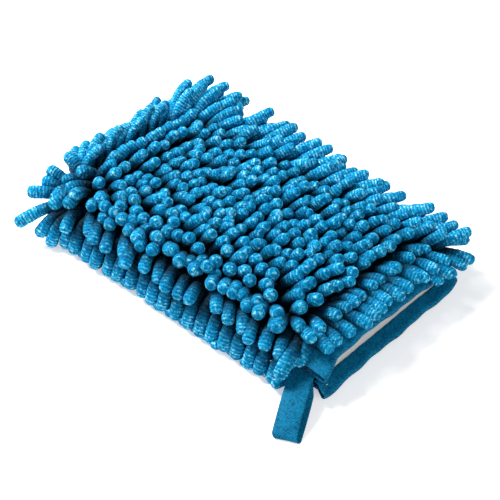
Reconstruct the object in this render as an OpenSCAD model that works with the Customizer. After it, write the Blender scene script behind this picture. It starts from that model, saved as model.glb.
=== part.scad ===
// Chenille wash mitt, lying palm down. Two panels of base cloth tufted with fat yarn noodles are sewn
// together round three sides into a lined pouch. Tape binds both lips of the cuff, and a doubled tape
// loop at one end of the cuff hangs the mitt up to dry.
// Millimetres. The origin is under the middle of the pouch, on the surface that it lies on. +X points
// out of the cuff and +Z up.

/* [Pouch] */
// Length of the bottom panel, from the closed seam to its lip
panel_l = 247; // [200:1:300]
// Width of both panels between the side seams
panel_w = 140; // [120:1:180]
// Radius in plan of the two corners at the closed end
corner_r = 24; // [20:1:45]
// Distance by which the top lip lies behind the bottom one
lip_step = 7; // [4:0.5:15]
// Width of the band along each seam in which the panels curve together
roll_w = 14; // [10:1:20]
// Clear height of the hand pocket inside that band
pocket_h = 9; // [7:0.5:25]
// Further height of the pocket at its crown
crown_h = 4; // [0:0.5:10]
// Distance of the crown from the middle, towards the loop
crown_shift = 12; // [0:1:25]
// Height by which the bottom panel turns up at its seams
edge_lift = 1; // [0:0.25:4]
// Height by which the top lip sags past the last row of noodles
top_lip_sag = 3; // [0:0.5:5]
// Height by which the bottom lip sags past its noodles
bottom_lip_sag = 4; // [0:0.5:6]

/* [Cloth] */
// Thickness of the base cloth that holds the noodles
backing_t = 1.6; // [1:0.1:2.5]
// Thickness of the pale lining
lining_t = 0.8; // [0.5:0.1:1.5]
// Thickness of the turned-in seam that joins the panels
welt_t = 4.2; // [3:0.1:6]
// Width of that seam
welt_w = 5; // [3:0.5:8]
// Air between neighbouring cloths
ply_gap = 0.3; // [0.2:0.05:0.5]

/* [Noodles] */
// Thickness of a noodle
noodle_d = 7.5; // [6:0.5:10]
// Length of a top noodle from its root to its tip
noodle_l = 24; // [18:1:34]
// Length of a noodle in the fringes round the edge
fringe_l = 36; // [24:1:40]
// Spacing of the noodles in the front and rear fringes
fringe_pitch = 11.5; // [10:0.5:16]
// Air between neighbouring noodles of a row
tuft_gap = 0.9; // [0.6:0.1:2]
// Air between neighbouring rows on top
row_gap = 2; // [1.5:0.5:8]
// Air between the base slices of neighbouring rows
slice_gap = 1; // [0.5:0.1:2]
// Thickness of the slice of cloth that a row is tufted through
slice_t = 0.8; // [0.5:0.1:1.2]
// Height that is left of the noodles squashed below the mitt
squash_h = 8.3; // [6:0.1:14]
// Spacing along the pouch of the rows below the mitt
bottom_row_pitch = 21; // [16:1:40]
// Spacing along a row of the noodles below the mitt
bottom_tuft_pitch = 12.5; // [10:0.5:20]

/* [Tape] */
// Thickness of the cuff tape and of the loop tape
tape_t = 0.9; // [0.6:0.1:1.4]
// Width of the cuff tape on each face of a lip
tape_leg = 12; // [8:0.5:18]
// Width of the hanging loop's tape
loop_w = 16; // [12:0.5:24]
// Length of the loop outside the seam
loop_l = 41; // [30:1:60]
// Widest gap between the loop's two plies
loop_gap = 8; // [6:0.5:14]
// Outer radius of the fold at the loop's far end
loop_end_r = 2; // [1.5:0.1:2.8]
// Length of the loop's end inside the seam
tail_l = 11; // [6:0.5:16]
// Turn of the loop from straight out, towards the cuff
loop_turn = 26; // [0:1:35]
// Distance of the loop's middle from the bottom lip
loop_inset = 12; // [12:0.5:30]

/* [Hidden] */
x_closed = -panel_l / 2;
x_cuff = panel_l / 2;
x_lip = x_cuff - lip_step;
half_w = panel_w / 2;
corner_x = x_closed + corner_r;
corner_y = half_w - corner_r;
stack_t = lining_t + ply_gap + backing_t;
seam_gap = welt_t + 2 * ply_gap;
floor_z = squash_h + ply_gap + stack_t;
seam_z = floor_z + edge_lift + seam_gap / 2;
ceiling_rise = floor_z + pocket_h - seam_z - seam_gap / 2;

// Shared stations of all four cloths, so that their facets lie parallel
arc_steps = 6;
run_steps = 6;
lip_steps = 3;
half_columns = 8;
columns = [for (j = [-half_columns : half_columns]) sin(90 * j / half_columns)];

// Noodle rows and fringes
tuft_pitch = noodle_d + tuft_gap;
first_edge = x_closed + roll_w;
last_edge = x_lip - tape_leg - 2 * ply_gap;
row_count = floor((last_edge - first_edge) / (noodle_d + row_gap));
row_pitch = (last_edge - first_edge) / row_count;
row_half = (row_pitch - slice_gap) / 2;
bottom_half_rows = floor((panel_l / 2 - roll_w) / bottom_row_pitch);
bottom_half_tufts = floor((half_w - roll_w) / bottom_tuft_pitch);
fringe_out = half_w * (1 - columns[2 * half_columns - 2]);
fringe_in = half_w * (1 - columns[2 * half_columns - 3]);
corner_tufts = 3;
corner_lift = slice_t + 0.2;
corner_in = 0.84 * fringe_in;

// Leans per unit of height: the comb holds in the middle, and each splay grows towards its edge
comb = [0.8, 0.14];
end_splay = 2.4;
end_splay_power = 7;
front_splay = 1.65;
rear_splay = 0.7;
bottom_comb = 2;
bottom_splay = 0.16;

// Loop: each ply is an arc that starts at the root, is highest at the crest and ends on the far fold
loop_root_x = x_cuff - loop_inset;
loop_root_y = -half_w - ply_gap - loop_w / 2 * sin(loop_turn);
loop_fold = loop_l - loop_end_r;
loop_sag = loop_gap / 2 + tape_t;
loop_fall = loop_end_r / loop_sag;
loop_rest = pow(loop_fold, 2) - loop_fall * (1 - loop_fall) * pow(loop_sag, 2);
loop_crest = (loop_fold - sqrt(pow(loop_fold, 2) - loop_fall * loop_rest)) / loop_fall;
loop_arc_r = (pow(loop_crest, 2) + pow(loop_sag, 2)) / (2 * loop_sag);
loop_pitch = asin((seam_z - loop_end_r) / loop_fold);

function two_digits(k) = str(k < 10 ? "0" : "", k);
function top_row(k) = str("top_noodles_", two_digits(k));
function bottom_row(k) = str("bottom_noodles_", two_digits(k));
fringe_nodes =
    ["front_fringe", "rear_fringe", "end_fringe", "front_corner_fringe", "rear_corner_fringe"];
top_nodes = [for (k = [1 : row_count]) top_row(k)];
bottom_nodes = [for (k = [1 : 2 * bottom_half_rows + 1]) bottom_row(k)];
cloth_nodes = ["top_panel", "bottom_panel", "top_lining", "bottom_lining", "edge_welt"];
tape_nodes = ["top_cuff_tape", "bottom_cuff_tape", "loop_tail", "hang_loop"];

chenille = [0.05, 0.5, 0.74];
base_blue = [0.04, 0.3, 0.5];
tape_blue = [0.1, 0.58, 0.78];
lining_white = [0.9, 0.89, 0.86];

// Shape of the pouch

// Half width of the panels at a distance along the pouch
function half_width(x) =
    x >= corner_x ? half_w : corner_y + sqrt(max(0, pow(corner_r, 2) - pow(corner_x - x, 2)));

// Rise from a seam, 0 on the seam and 1 past the rolled band
function roll(d) = sin(90 * max(0, min(1, d / roll_w)));
function fullness(x, y) = roll(half_width(x) - abs(y)) * roll(x - x_closed);
function crown(y) = crown_h * (1 - pow((y + crown_shift) / (half_w + crown_shift), 2));

// Share of a lip's sag, 0 up to the last noodles and 1 at the lip
function sag(x, x_edge) = max(0, x - last_edge) / (x_edge - last_edge);

function pocket_floor(x, y) =
    floor_z + edge_lift - fullness(x, y) * (edge_lift + bottom_lip_sag * sag(x, x_cuff));
function pocket_ceiling(x, y) =
    seam_z + seam_gap / 2
    + fullness(x, y) * (ceiling_rise + crown(y) - top_lip_sag * sag(x, x_lip));
function top_face(x, y) = pocket_ceiling(x, y) + stack_t;
function bottom_face(x, y) = pocket_floor(x, y) - stack_t;

// Stations from the closed seam round the corners, along the pouch to its last noodles, and on to a lip
function station_x(i, x_end) =
    i <= arc_steps
    ? x_closed + corner_r * (1 - cos(90 * i / arc_steps))
    : i <= arc_steps + run_steps
        ? corner_x + (last_edge - corner_x) * (i - arc_steps) / run_steps
        : last_edge + (x_end - last_edge) * (i - arc_steps - run_steps) / lip_steps;

// Mesh helpers: faces run clockwise seen from outside

function quad(a, b, c, d) = [[a, c, b], [a, d, c]];
function flat(lists) = [for (list = lists) each list];

// Cloth of even thickness over the function of its underside
module cloth(under, thickness, x_end) {
    rows = arc_steps + run_steps + lip_steps + 1;
    wide = len(columns);
    low = [
        for (i = [0 : rows - 1], s = columns)
            let (x = station_x(i, x_end), y = s * half_width(x)) [x, y, under(x, y)]
    ];
    high = [for (p = low) p + [0, 0, thickness]];
    n = len(low);
    function at(i, j) = i * wide + j;
    skins = [
        for (i = [0 : rows - 2], j = [0 : wide - 2])
            let (a = at(i, j), b = at(i + 1, j), c = at(i + 1, j + 1), d = at(i, j + 1))
                each concat(quad(n + a, n + b, n + c, n + d), quad(a, d, c, b))
    ];
    ends = [
        for (j = [0 : wide - 2])
            let (a = at(0, j), b = at(0, j + 1), c = at(rows - 1, j), d = at(rows - 1, j + 1))
                each concat(quad(a, n + a, n + b, b), quad(c, d, n + d, n + c))
    ];
    sides = [
        for (i = [0 : rows - 2])
            let (a = at(i, 0), b = at(i + 1, 0), c = at(i, wide - 1), d = at(i + 1, wide - 1))
                each concat(quad(a, b, n + b, n + a), quad(c, n + c, n + d, d))
    ];
    polyhedron(concat(low, high), concat(skins, ends, sides), convexity = 4);
}

// Strip of even section swept through stations: outer and inner hold one line of points a station
module strip(outer, inner) {
    stations = len(outer);
    across = len(outer[0]);
    n = stations * across;
    function at(i, j) = i * across + j;
    walls = [
        for (i = [0 : stations - 2], j = [0 : across - 2])
            let (a = at(i, j), b = at(i, j + 1), c = at(i + 1, j + 1), d = at(i + 1, j))
                each concat(quad(a, b, c, d), quad(n + d, n + c, n + b, n + a))
    ];
    edges = [
        for (i = [0 : stations - 2])
            let (a = at(i, 0), b = at(i + 1, 0), c = at(i, across - 1), d = at(i + 1, across - 1))
                each concat(quad(a, b, n + b, n + a), quad(d, c, n + c, n + d))
    ];
    caps = [
        for (j = [0 : across - 2])
            let (a = at(0, j), b = at(0, j + 1), c = at(stations - 1, j), d = at(stations - 1, j + 1))
                each concat(quad(b, a, n + a, n + b), quad(c, d, n + d, n + c))
    ];
    polyhedron(concat(flat(outer), flat(inner)), concat(walls, edges, caps), convexity = 6);
}

// Ring of four corners round a noodle's middle line
function ring(middle, a, b) =
    [middle - a - b, middle + a - b, middle + a + b, middle - a + b];

// Row of noodles on its slice of cloth. The two edges of the slice run side by side, a noodle stands on
// each cell between them, and its rings end in a point, or flat where it has no tip.
module noodle_row(edge_a, edge_b, up, noodles) {
    cells = len(noodles);
    rise = slice_t * up;
    base = flat([for (j = [0 : cells]) [edge_a[j], edge_b[j], edge_a[j] + rise, edge_b[j] + rise]]);
    rings = len(noodles[0][0]);
    pointed = len(noodles[0]) > 1;
    size = 4 * rings + (pointed ? 1 : 0);
    bodies = flat([for (noodle = noodles) concat(flat(noodle[0]), pointed ? [noodle[1]] : [])]);
    first = len(base);
    function corner(j, r, m) =
        r < 0
        ? 4 * (m < 2 ? j : j + 1) + (m == 0 || m == 3 ? 2 : 3)
        : first + size * j + 4 * r + m;
    slice = [
        for (j = [0 : cells - 1])
            let (p = 4 * j, q = 4 * (j + 1))
                each concat(quad(p, q, q + 1, p + 1), quad(p, p + 2, q + 2, q),
                    quad(p + 1, q + 1, q + 3, p + 3))
    ];
    last = 4 * cells;
    ends = concat(quad(0, 1, 3, 2), quad(last, last + 2, last + 3, last + 1));
    walls = [
        for (j = [0 : cells - 1], r = [-1 : rings - 2], m = [0 : 3])
            let (k = (m + 1) % 4)
                each quad(corner(j, r, m), corner(j, r, k), corner(j, r + 1, k), corner(j, r + 1, m))
    ];
    tips = [
        for (j = [0 : cells - 1])
            let (r = rings - 1)
                each pointed
                ? [for (m = [0 : 3]) [corner(j, r, m), corner(j, rings, 0), corner(j, r, (m + 1) % 4)]]
                : quad(corner(j, r, 0), corner(j, r, 1), corner(j, r, 2), corner(j, r, 3))
    ];
    polyhedron(concat(base, bodies), concat(slice, ends, walls, tips), convexity = 10);
}

// Even variation from noodle to noodle, between -1 and 1
function ripple(k, j) = sin(151 * k + 83 * j);

// Lean of a top noodle: combed towards the cuff and the rear, and parted outwards near the edges
function lean(x, y) =
    let (u = 2 * x / panel_l, v = y / half_w)
        [
            comb[0] + end_splay * pow(u, end_splay_power),
            comb[1] + (v < 0 ? front_splay : rear_splay) * v * abs(v),
            1
        ];

// Panels and linings

module top_panel() {
    color(base_blue)
        cloth(function (x, y) top_face(x, y) - backing_t, backing_t, x_lip);
}

module bottom_panel() {
    color(base_blue)
        cloth(function (x, y) bottom_face(x, y), backing_t, x_cuff);
}

module top_lining() {
    color(lining_white)
        cloth(function (x, y) pocket_ceiling(x, y), lining_t, x_lip);
}

module bottom_lining() {
    color(lining_white)
        cloth(function (x, y) pocket_floor(x, y) - lining_t, lining_t, x_cuff);
}

// Turned-in seam allowance between the two linings, along three sides
function welt_line(inset) =
    let (
        r = corner_r - inset,
        y = half_w - inset,
        bends = [for (i = [0 : arc_steps]) 90 * i / arc_steps],
        front_end = loop_root_x - loop_w / 2 - tail_l,
        rear_end = x_lip - tape_leg - ply_gap
    )
        concat(
            [[front_end, -y]],
            [for (a = bends) [corner_x - r * sin(a), -corner_y - r * cos(a)]],
            [for (a = bends) [corner_x - r * cos(a), corner_y + r * sin(a)]],
            [[rear_end, y]]
        );

module edge_welt() {
    outside = welt_line(0);
    inside = welt_line(welt_w);
    function level(z) =
        [for (i = [0 : len(outside) - 1]) [[outside[i].x, outside[i].y, z], [inside[i].x, inside[i].y, z]]];
    color(lining_white)
        strip(level(seam_z + welt_t / 2), level(seam_z - welt_t / 2));
}

// Cuff

// Points on one face of a folded tape, from its sewn edge up to the lip
function tape_face(x_edge, y, level, rise) =
    [
        for (i = [0 : lip_steps - 1])
            let (x = x_edge - tape_leg * (1 - i / lip_steps)) [x, y, level(x, y) + rise]
    ];

// Line of points across a tape folded over a lip: along one face, round the edge and back again
function folded_tape(x_edge, y, level, side, lift) =
    let (
        r = stack_t / 2 + ply_gap + lift,
        fold = 6,
        inner = tape_face(x_edge, y, level, side * (stack_t / 2 - r)),
        outer = tape_face(x_edge, y, level, side * (stack_t / 2 + r)),
        middle = level(x_edge, y) + side * stack_t / 2
    )
        concat(
            inner,
            [
                for (i = [0 : fold])
                    let (turn = 180 * i / fold)
                        [x_edge + r * sin(turn), y, middle - side * r * cos(turn)]
            ],
            [for (i = [lip_steps - 1 : -1 : 0]) outer[i]]
        );

module cuff_tape(x_edge, level, side) {
    spots = [for (j = [1 : len(columns) - 2]) -side * half_w * columns[j]];
    color(tape_blue)
        strip(
            [for (y = spots) folded_tape(x_edge, y, level, side, tape_t)],
            [for (y = spots) folded_tape(x_edge, y, level, side, 0)]
        );
}

module top_cuff_tape() {
    cuff_tape(x_lip, function (x, y) pocket_ceiling(x, y), 1);
}

module bottom_cuff_tape() {
    cuff_tape(x_cuff, function (x, y) pocket_floor(x, y), -1);
}

// Hanging loop

// Puts a drawing whose x runs out of the seam, and whose y runs up, at the loop's root
module at_loop_root(width) {
    translate([loop_root_x, loop_root_y, seam_z])
        rotate([0, 0, loop_turn - 90])
            rotate([90, 0, 0])
                translate([0, 0, -width / 2])
                    linear_extrude(height = width)
                        children();
}

// Space inside the two bowed plies and the fold, drawn in by a ply's thickness for the inner face
module bowed_plies(inset) {
    reach = loop_arc_r - loop_sag;
    intersection() {
        translate([loop_crest, -reach])
            circle(r = loop_arc_r - inset, $fn = 128);
        translate([loop_crest, reach])
            circle(r = loop_arc_r - inset, $fn = 128);
        translate([0, -loop_sag])
            square([loop_fold, 2 * loop_sag]);
    }
    translate([loop_fold, 0])
        circle(r = loop_end_r - inset, $fn = 32);
}

module hang_loop() {
    color(tape_blue)
        at_loop_root(loop_w)
            rotate(-loop_pitch)
                difference() {
                    bowed_plies(0);
                    bowed_plies(tape_t);
                }
}

// Sewn-in end of the loop, two plies thick, flat between the linings
module loop_tail() {
    color(tape_blue)
        at_loop_root(loop_w)
            translate([-ply_gap - tail_l, -tape_t])
                square([tail_l, 2 * tape_t]);
}

// Noodles

// Noodle that stands straight up along its lean
function leaning_noodle(root, way, length) =
    let (half = noodle_d / 2, neck = 0.84)
        [[ring(root + neck * length * way, [half, 0, 0], [0, half, 0])], root + length * way];

// Noodle that leaves its root at one angle from upright and bends over to another as it goes out
function bent_noodle(root, out, angles, length) =
    let (
        half = noodle_d / 2,
        up = [0, 0, 1],
        along = cross(up, out),
        steps = [0.22, 0.3, 0.3, 0.18] * length,
        ways = [for (a = angles) cos(a) * up + sin(a) * out],
        sides = [for (a = angles) cos(a) * out - sin(a) * up],
        p1 = root + steps[0] * ways[0],
        p2 = p1 + steps[1] * ways[1],
        p3 = p2 + steps[2] * ways[2]
    )
        [
            [
                ring(p1, 0.9 * half * sides[0], 0.9 * half * along),
                ring(p2, half * sides[1], half * along),
                ring(p3, half * sides[2], half * along)
            ],
            p3 + steps[3] * ways[3]
        ];

// Row across the top. The last row before the cuff lies down over the tape.
module top_noodle_row(k) {
    x = first_edge + (k - 0.5) * row_pitch;
    reach = min(half_width(x - row_half), half_w) - roll_w;
    cells = floor(2 * reach / tuft_pitch);
    pitch = 2 * reach / cells;
    function seat(x, y) = [x, y, top_face(x, y) + ply_gap];
    color(chenille)
        noodle_row(
            [for (j = [0 : cells]) seat(x - row_half, j * pitch - reach)],
            [for (j = [0 : cells]) seat(x + row_half, j * pitch - reach)],
            [0, 0, 1],
            [
                for (j = [0 : cells - 1])
                    let (
                        y = (j + 0.5) * pitch - reach,
                        length = noodle_l * (1 + 0.06 * ripple(k, j)),
                        root = seat(x, y) + [0, 0, slice_t]
                    )
                        k == row_count
                        ? bent_noodle(root, [1, 0, 0], cuff_bend, length)
                        : leaning_noodle(root, lean(x, y) / norm(lean(x, y)), length)
            ]
        );
}

// Direction in plan at an angle from +X
function plan(a) = [cos(a), sin(a), 0];

// Fringe on the rolled band between two points of the seam, seen with the pouch on the left hand. The
// noodles are turned from straight out by the first angle at the start and by the second at the end.
module straight_fringe(from, to, spacing, facing, sweep, inner, outer, angles) {
    along = (to - from) / norm(to - from);
    cells = floor(norm(to - from) / spacing);
    pitch = norm(to - from) / cells;
    function seat(p) = [p.x, p.y, top_face(p.x, p.y) + ply_gap];
    function spot(j, inset) = from + j * pitch * along - inset * [cos(facing), sin(facing)];
    color(chenille)
        noodle_row(
            [for (j = [0 : cells]) seat(spot(j, inner))],
            [for (j = [0 : cells]) seat(spot(j, outer))],
            [0, 0, 1],
            [
                for (j = [0 : cells - 1])
                    let (
                        middle = (seat(spot(j + 0.5, inner)) + seat(spot(j + 0.5, outer))) / 2,
                        turn = sweep[0] + (sweep[1] - sweep[0]) * (j + 0.5) / cells,
                        length = fringe_l * (1 + 0.05 * ripple(cells, j))
                    )
                        bent_noodle(middle + [0, 0, slice_t], plan(facing + turn), angles, length)
            ]
        );
}

// Fringe fanned round a corner of the closed end through a quarter turn from a bearing, and turned from
// straight out like a straight fringe
module corner_fringe(middle, bearing, sweep, angles) {
    quarter = 90;
    turn = quarter / corner_tufts;
    function seat(a, inset) =
        let (p = middle + (corner_r - inset) * plan(a))
            [p.x, p.y, top_face(p.x, p.y) + ply_gap + corner_lift];
    color(chenille)
        noodle_row(
            [for (j = [0 : corner_tufts]) seat(bearing + j * turn, corner_in)],
            [for (j = [0 : corner_tufts]) seat(bearing + j * turn, fringe_out)],
            [0, 0, 1],
            [
                for (j = [0 : corner_tufts - 1])
                    let (
                        a = bearing + (j + 0.5) * turn,
                        root = (seat(a, corner_in) + seat(a, fringe_out)) / 2 + [0, 0, slice_t],
                        twist = sweep[0] + (sweep[1] - sweep[0]) * (j + 0.5) / corner_tufts
                    )
                        bent_noodle(root, plan(a + twist), angles, fringe_l)
            ]
        );
}

// Angle from upright of the four lengths of a bent noodle, root to tip
front_bend = [75, 140, 170, 172];
rear_bend = [45, 60, 66, 68];
end_bend = [35, 50, 55, 58];
front_corner_bend = [70, 115, 130, 135];
cuff_bend = [50, 80, 98, 105];

// Turn of the fringe's noodles from straight out, at the start and the end of each side
no_sweep = [0, 0];
rear_sweep = [-26, -12];
rear_corner_sweep = [-10, -56];
end_sweep = [-54, -30];
end_out = corner_r * (1 - cos(180 / arc_steps));
end_in = corner_r * (1 - cos(270 / arc_steps));

module front_fringe() {
    stop = loop_root_x - loop_w / 2 - noodle_d / 2;
    straight_fringe([corner_x, -half_w], [stop, -half_w], fringe_pitch, -90, no_sweep, fringe_in,
        fringe_out, front_bend);
}

module rear_fringe() {
    straight_fringe([last_edge, half_w], [corner_x, half_w], fringe_pitch, 90, rear_sweep, fringe_in,
        fringe_out, rear_bend);
}

module end_fringe() {
    straight_fringe([x_closed, corner_y], [x_closed, -corner_y], tuft_pitch, 180, end_sweep, end_in,
        end_out, end_bend);
}

module front_corner_fringe() {
    corner_fringe([corner_x, -corner_y, 0], 180, no_sweep, front_corner_bend);
}

module rear_corner_fringe() {
    corner_fringe([corner_x, corner_y, 0], 90, rear_corner_sweep, rear_bend);
}

// Noodles squashed under the mitt, cut flat where it lies on them
module bottom_noodle_row(k) {
    x = (k - 1 - bottom_half_rows) * bottom_row_pitch;
    half = noodle_d / 2;
    wide = half + slice_gap;
    cells = 2 * bottom_half_tufts + 1;
    first = -(bottom_half_tufts + 0.5) * bottom_tuft_pitch;
    function seat(x, y) = [x, y, bottom_face(x, y) - ply_gap];
    color(chenille)
        noodle_row(
            [for (j = [0 : cells]) seat(x + wide, first + j * bottom_tuft_pitch)],
            [for (j = [0 : cells]) seat(x - wide, first + j * bottom_tuft_pitch)],
            [0, 0, -1],
            [
                for (j = [0 : cells - 1])
                    let (
                        y = first + (j + 0.5) * bottom_tuft_pitch,
                        tip = [x * (1 + bottom_splay / 2) + bottom_comb, y * (1 + bottom_splay), 0]
                    )
                        [[ring(tip, [-half, 0, 0], [0, half, 0])]]
            ]
        );
}

// Parts

top_panel();
bottom_panel();
top_lining();
bottom_lining();
edge_welt();
top_cuff_tape();
bottom_cuff_tape();
loop_tail();
hang_loop();
for (k = [1 : row_count])
    top_noodle_row(k);
front_fringe();
rear_fringe();
end_fringe();
front_corner_fringe();
rear_corner_fringe();
for (k = [1 : len(bottom_nodes)])
    bottom_noodle_row(k);
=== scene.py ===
# %% [markdown]
# # A chenille wash mitt, piece by piece
# A wash mitt is a lined pouch that a hand slips into, covered all over with fat, soft noodles of
# chenille yarn. The CAD model gives every piece its place and its motion, so this lesson loads it as a
# fixed frame and then makes each soft piece again with the look of the real yarn, cloth and tape.
# Everything stays in the CAD's own coordinates, so nothing has to be fitted later.

# %% Load the frame
import math
import random

import bmesh
import bpy
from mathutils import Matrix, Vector
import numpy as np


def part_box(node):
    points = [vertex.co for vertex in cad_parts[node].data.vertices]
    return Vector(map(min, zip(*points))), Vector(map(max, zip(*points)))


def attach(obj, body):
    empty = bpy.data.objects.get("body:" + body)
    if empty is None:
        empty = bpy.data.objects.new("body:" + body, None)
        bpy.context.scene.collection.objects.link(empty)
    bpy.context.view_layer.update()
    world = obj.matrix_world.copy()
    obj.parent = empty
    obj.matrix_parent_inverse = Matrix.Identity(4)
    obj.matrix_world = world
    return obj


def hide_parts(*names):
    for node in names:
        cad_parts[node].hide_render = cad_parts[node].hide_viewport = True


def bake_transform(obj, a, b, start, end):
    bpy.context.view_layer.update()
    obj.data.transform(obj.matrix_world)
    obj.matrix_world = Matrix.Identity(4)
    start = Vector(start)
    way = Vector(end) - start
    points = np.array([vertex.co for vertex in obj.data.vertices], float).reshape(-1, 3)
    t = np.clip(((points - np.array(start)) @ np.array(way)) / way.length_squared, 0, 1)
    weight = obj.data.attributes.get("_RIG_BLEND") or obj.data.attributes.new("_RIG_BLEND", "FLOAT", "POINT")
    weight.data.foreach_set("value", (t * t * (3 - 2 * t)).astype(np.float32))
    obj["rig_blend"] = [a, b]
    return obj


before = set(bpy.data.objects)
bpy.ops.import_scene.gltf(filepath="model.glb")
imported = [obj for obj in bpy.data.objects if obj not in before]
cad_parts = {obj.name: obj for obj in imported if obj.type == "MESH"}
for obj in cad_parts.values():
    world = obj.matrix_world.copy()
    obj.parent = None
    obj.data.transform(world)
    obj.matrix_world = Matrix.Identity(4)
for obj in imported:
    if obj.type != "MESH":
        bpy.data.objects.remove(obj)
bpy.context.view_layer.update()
MM = 0.001

# %% [markdown]
# ## The camera
# The photograph looks down on the mitt at about forty degrees, with the cuff's near corner towards us.
# A long lens from 0.8 m keeps the rows nearly parallel, as they are in the picture. The camera comes
# first, so that every later piece can be judged through it.

# %% Camera at the photograph's angle
azimuth = math.radians(42.5)
elevation = math.radians(39.6)
towards_camera = Vector((
    math.sin(azimuth) * math.cos(elevation),
    -math.cos(azimuth) * math.cos(elevation),
    math.sin(elevation),
))
aim = Vector((8.5, -5.6, 15.0)) * MM
camera_distance = 0.82
lens = bpy.data.cameras.new("photo_camera")
lens.sensor_width = 36
lens.lens = 87.4
lens.clip_start = 0.05
camera = bpy.data.objects.new("photo_camera", lens)
camera.location = aim + towards_camera * camera_distance
camera.rotation_euler = (-towards_camera).to_track_quat("-Z", "Y").to_euler()
bpy.context.scene.collection.objects.link(camera)
bpy.context.scene.camera = camera
print("Camera at", [round(value, 3) for value in camera.location])

# %% [markdown]
# ## One small tool for every material
# A finish is a handful of nodes, and each node needs the same three things: its kind, its settings and
# what goes into it. One function does that. Colours are written as the sRGB hex values that a paint
# chart would give, and a second function turns them into the linear values that Cycles works with.

# %% Node and colour helpers
def add(tree, kind, settings, inputs):
    node = tree.nodes.new(kind)
    for name, value in settings.items():
        setattr(node, name, value)
    for name, value in inputs.items():
        if isinstance(value, bpy.types.NodeSocket):
            tree.links.new(value, node.inputs[name])
        else:
            node.inputs[name].default_value = value
    return node


def linear(hex_colour):
    parts = [int(hex_colour[start:start + 2], 16) / 255 for start in (1, 3, 5)]
    curve = [part / 12.92 if part <= 0.04045 else ((part + 0.055) / 1.055) ** 2.4 for part in parts]
    return curve + [1.0]


def new_finish(name):
    material = bpy.data.materials.new(name)
    material.use_nodes = True
    return material, material.node_tree, material.node_tree.nodes["Principled BSDF"]


print("Mid blue in linear light:", [round(value, 3) for value in linear("#0A80BE")[:3]])

# %% [markdown]
# ## Sky and lamps
# The picture is a plain studio shot: white paper under the mitt, a little light from everywhere, and one
# large lamp high on the left that leaves a pale shadow at the cuff. A weak reflector on the right keeps
# the mouth of the pouch from going black. A face turned straight to the lamp gets more than its written
# colour, but the noodles shade one another, so the pile as a whole comes out about as it is written. Only
# the camera sees the sky as white.

# %% Sky and lamps
SKY_LEVEL = 0.18
LAMP_DISTANCE, LAMP_SIZE = 1.2, 0.6  # in metres


def make_sky():
    world = bpy.data.worlds.new("studio_sky")
    bpy.context.scene.world = world
    world.use_nodes = True
    tree = world.node_tree
    tree.nodes.clear()
    path = add(tree, "ShaderNodeLightPath", {}, {})
    light = add(tree, "ShaderNodeBackground", {}, {"Color": linear("#F4F8FF"), "Strength": SKY_LEVEL})
    paper = add(tree, "ShaderNodeBackground", {}, {"Color": (1, 1, 1, 1), "Strength": 1.0})
    both = add(tree, "ShaderNodeMixShader", {},
               {0: path.outputs["Is Camera Ray"], 1: light.outputs[0], 2: paper.outputs[0]})
    add(tree, "ShaderNodeOutputWorld", {}, {"Surface": both.outputs[0]})


def make_lamp(name, direction, watts):
    lamp = bpy.data.lights.new(name, "AREA")
    lamp.shape = "DISK"
    lamp.size = LAMP_SIZE
    lamp.energy = watts
    holder = bpy.data.objects.new(name, lamp)
    holder.location = aim + direction.normalized() * LAMP_DISTANCE
    holder.rotation_euler = direction.to_track_quat("Z", "Y").to_euler()
    bpy.context.scene.collection.objects.link(holder)


make_sky()
make_lamp("softbox", Vector((-0.62, -0.15, 0.77)), watts=29.0)
make_lamp("reflector", Vector((0.86, -0.28, 0.42)), watts=6.0)
bpy.context.scene.view_settings.view_transform = "Standard"
print("Studio: sky, softbox and reflector")

# %% [markdown]
# ## The paper floor
# White paper with a faint grain lies under the mitt and keeps its shadow. A glow that only the camera
# sees lifts the paper to white, so no extra light falls on the mitt.

# %% Paper floor
PAPER_GLOW = 0.48
PAPER_HALF = 3.0  # in metres
PAPER_GRAIN, PAPER_DROP = 2.0, 0.2  # in millimetres

paper, tree, shader = new_finish("matt_white_paper")
path = add(tree, "ShaderNodeLightPath", {}, {})
grain = add(tree, "ShaderNodeTexNoise", {}, {"Scale": 1000 / PAPER_GRAIN, "Detail": 2.0})
bump = add(tree, "ShaderNodeBump", {}, {"Height": grain.outputs["Fac"], "Distance": 0.02 * MM})
shader.inputs["Base Color"].default_value = linear("#FAFAFA")
shader.inputs["Roughness"].default_value = 0.95
shader.inputs["Specular IOR Level"].default_value = 0.1
tree.links.new(bump.outputs["Normal"], shader.inputs["Normal"])
shader.inputs["Emission Color"].default_value = (1, 1, 1, 1)
glow = add(tree, "ShaderNodeMath", {"operation": "MULTIPLY"},
           {0: path.outputs["Is Camera Ray"], 1: PAPER_GLOW})
tree.links.new(glow.outputs[0], shader.inputs["Emission Strength"])

bm = bmesh.new()
bmesh.ops.create_grid(bm, x_segments=2, y_segments=2, size=PAPER_HALF)
sheet_of_paper = bpy.data.meshes.new("paper_floor")
bm.to_mesh(sheet_of_paper)
bm.free()
floor = bpy.data.objects.new("paper_floor", sheet_of_paper)
floor.location.z = -PAPER_DROP * MM
sheet_of_paper.materials.append(paper)
bpy.context.scene.collection.objects.link(floor)
print("Floor:", floor.name, PAPER_DROP, "mm below the frame's zero")

# %% [markdown]
# ## The pouch's shape
# All cloths of the mitt follow one pouch: flat below, crowned above, closed by a seam round three sides
# and open at the cuff. The CAD source works that shape out from a few sizes, so the same formulas stand
# here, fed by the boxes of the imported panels. Each later piece asks them for its height.

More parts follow.
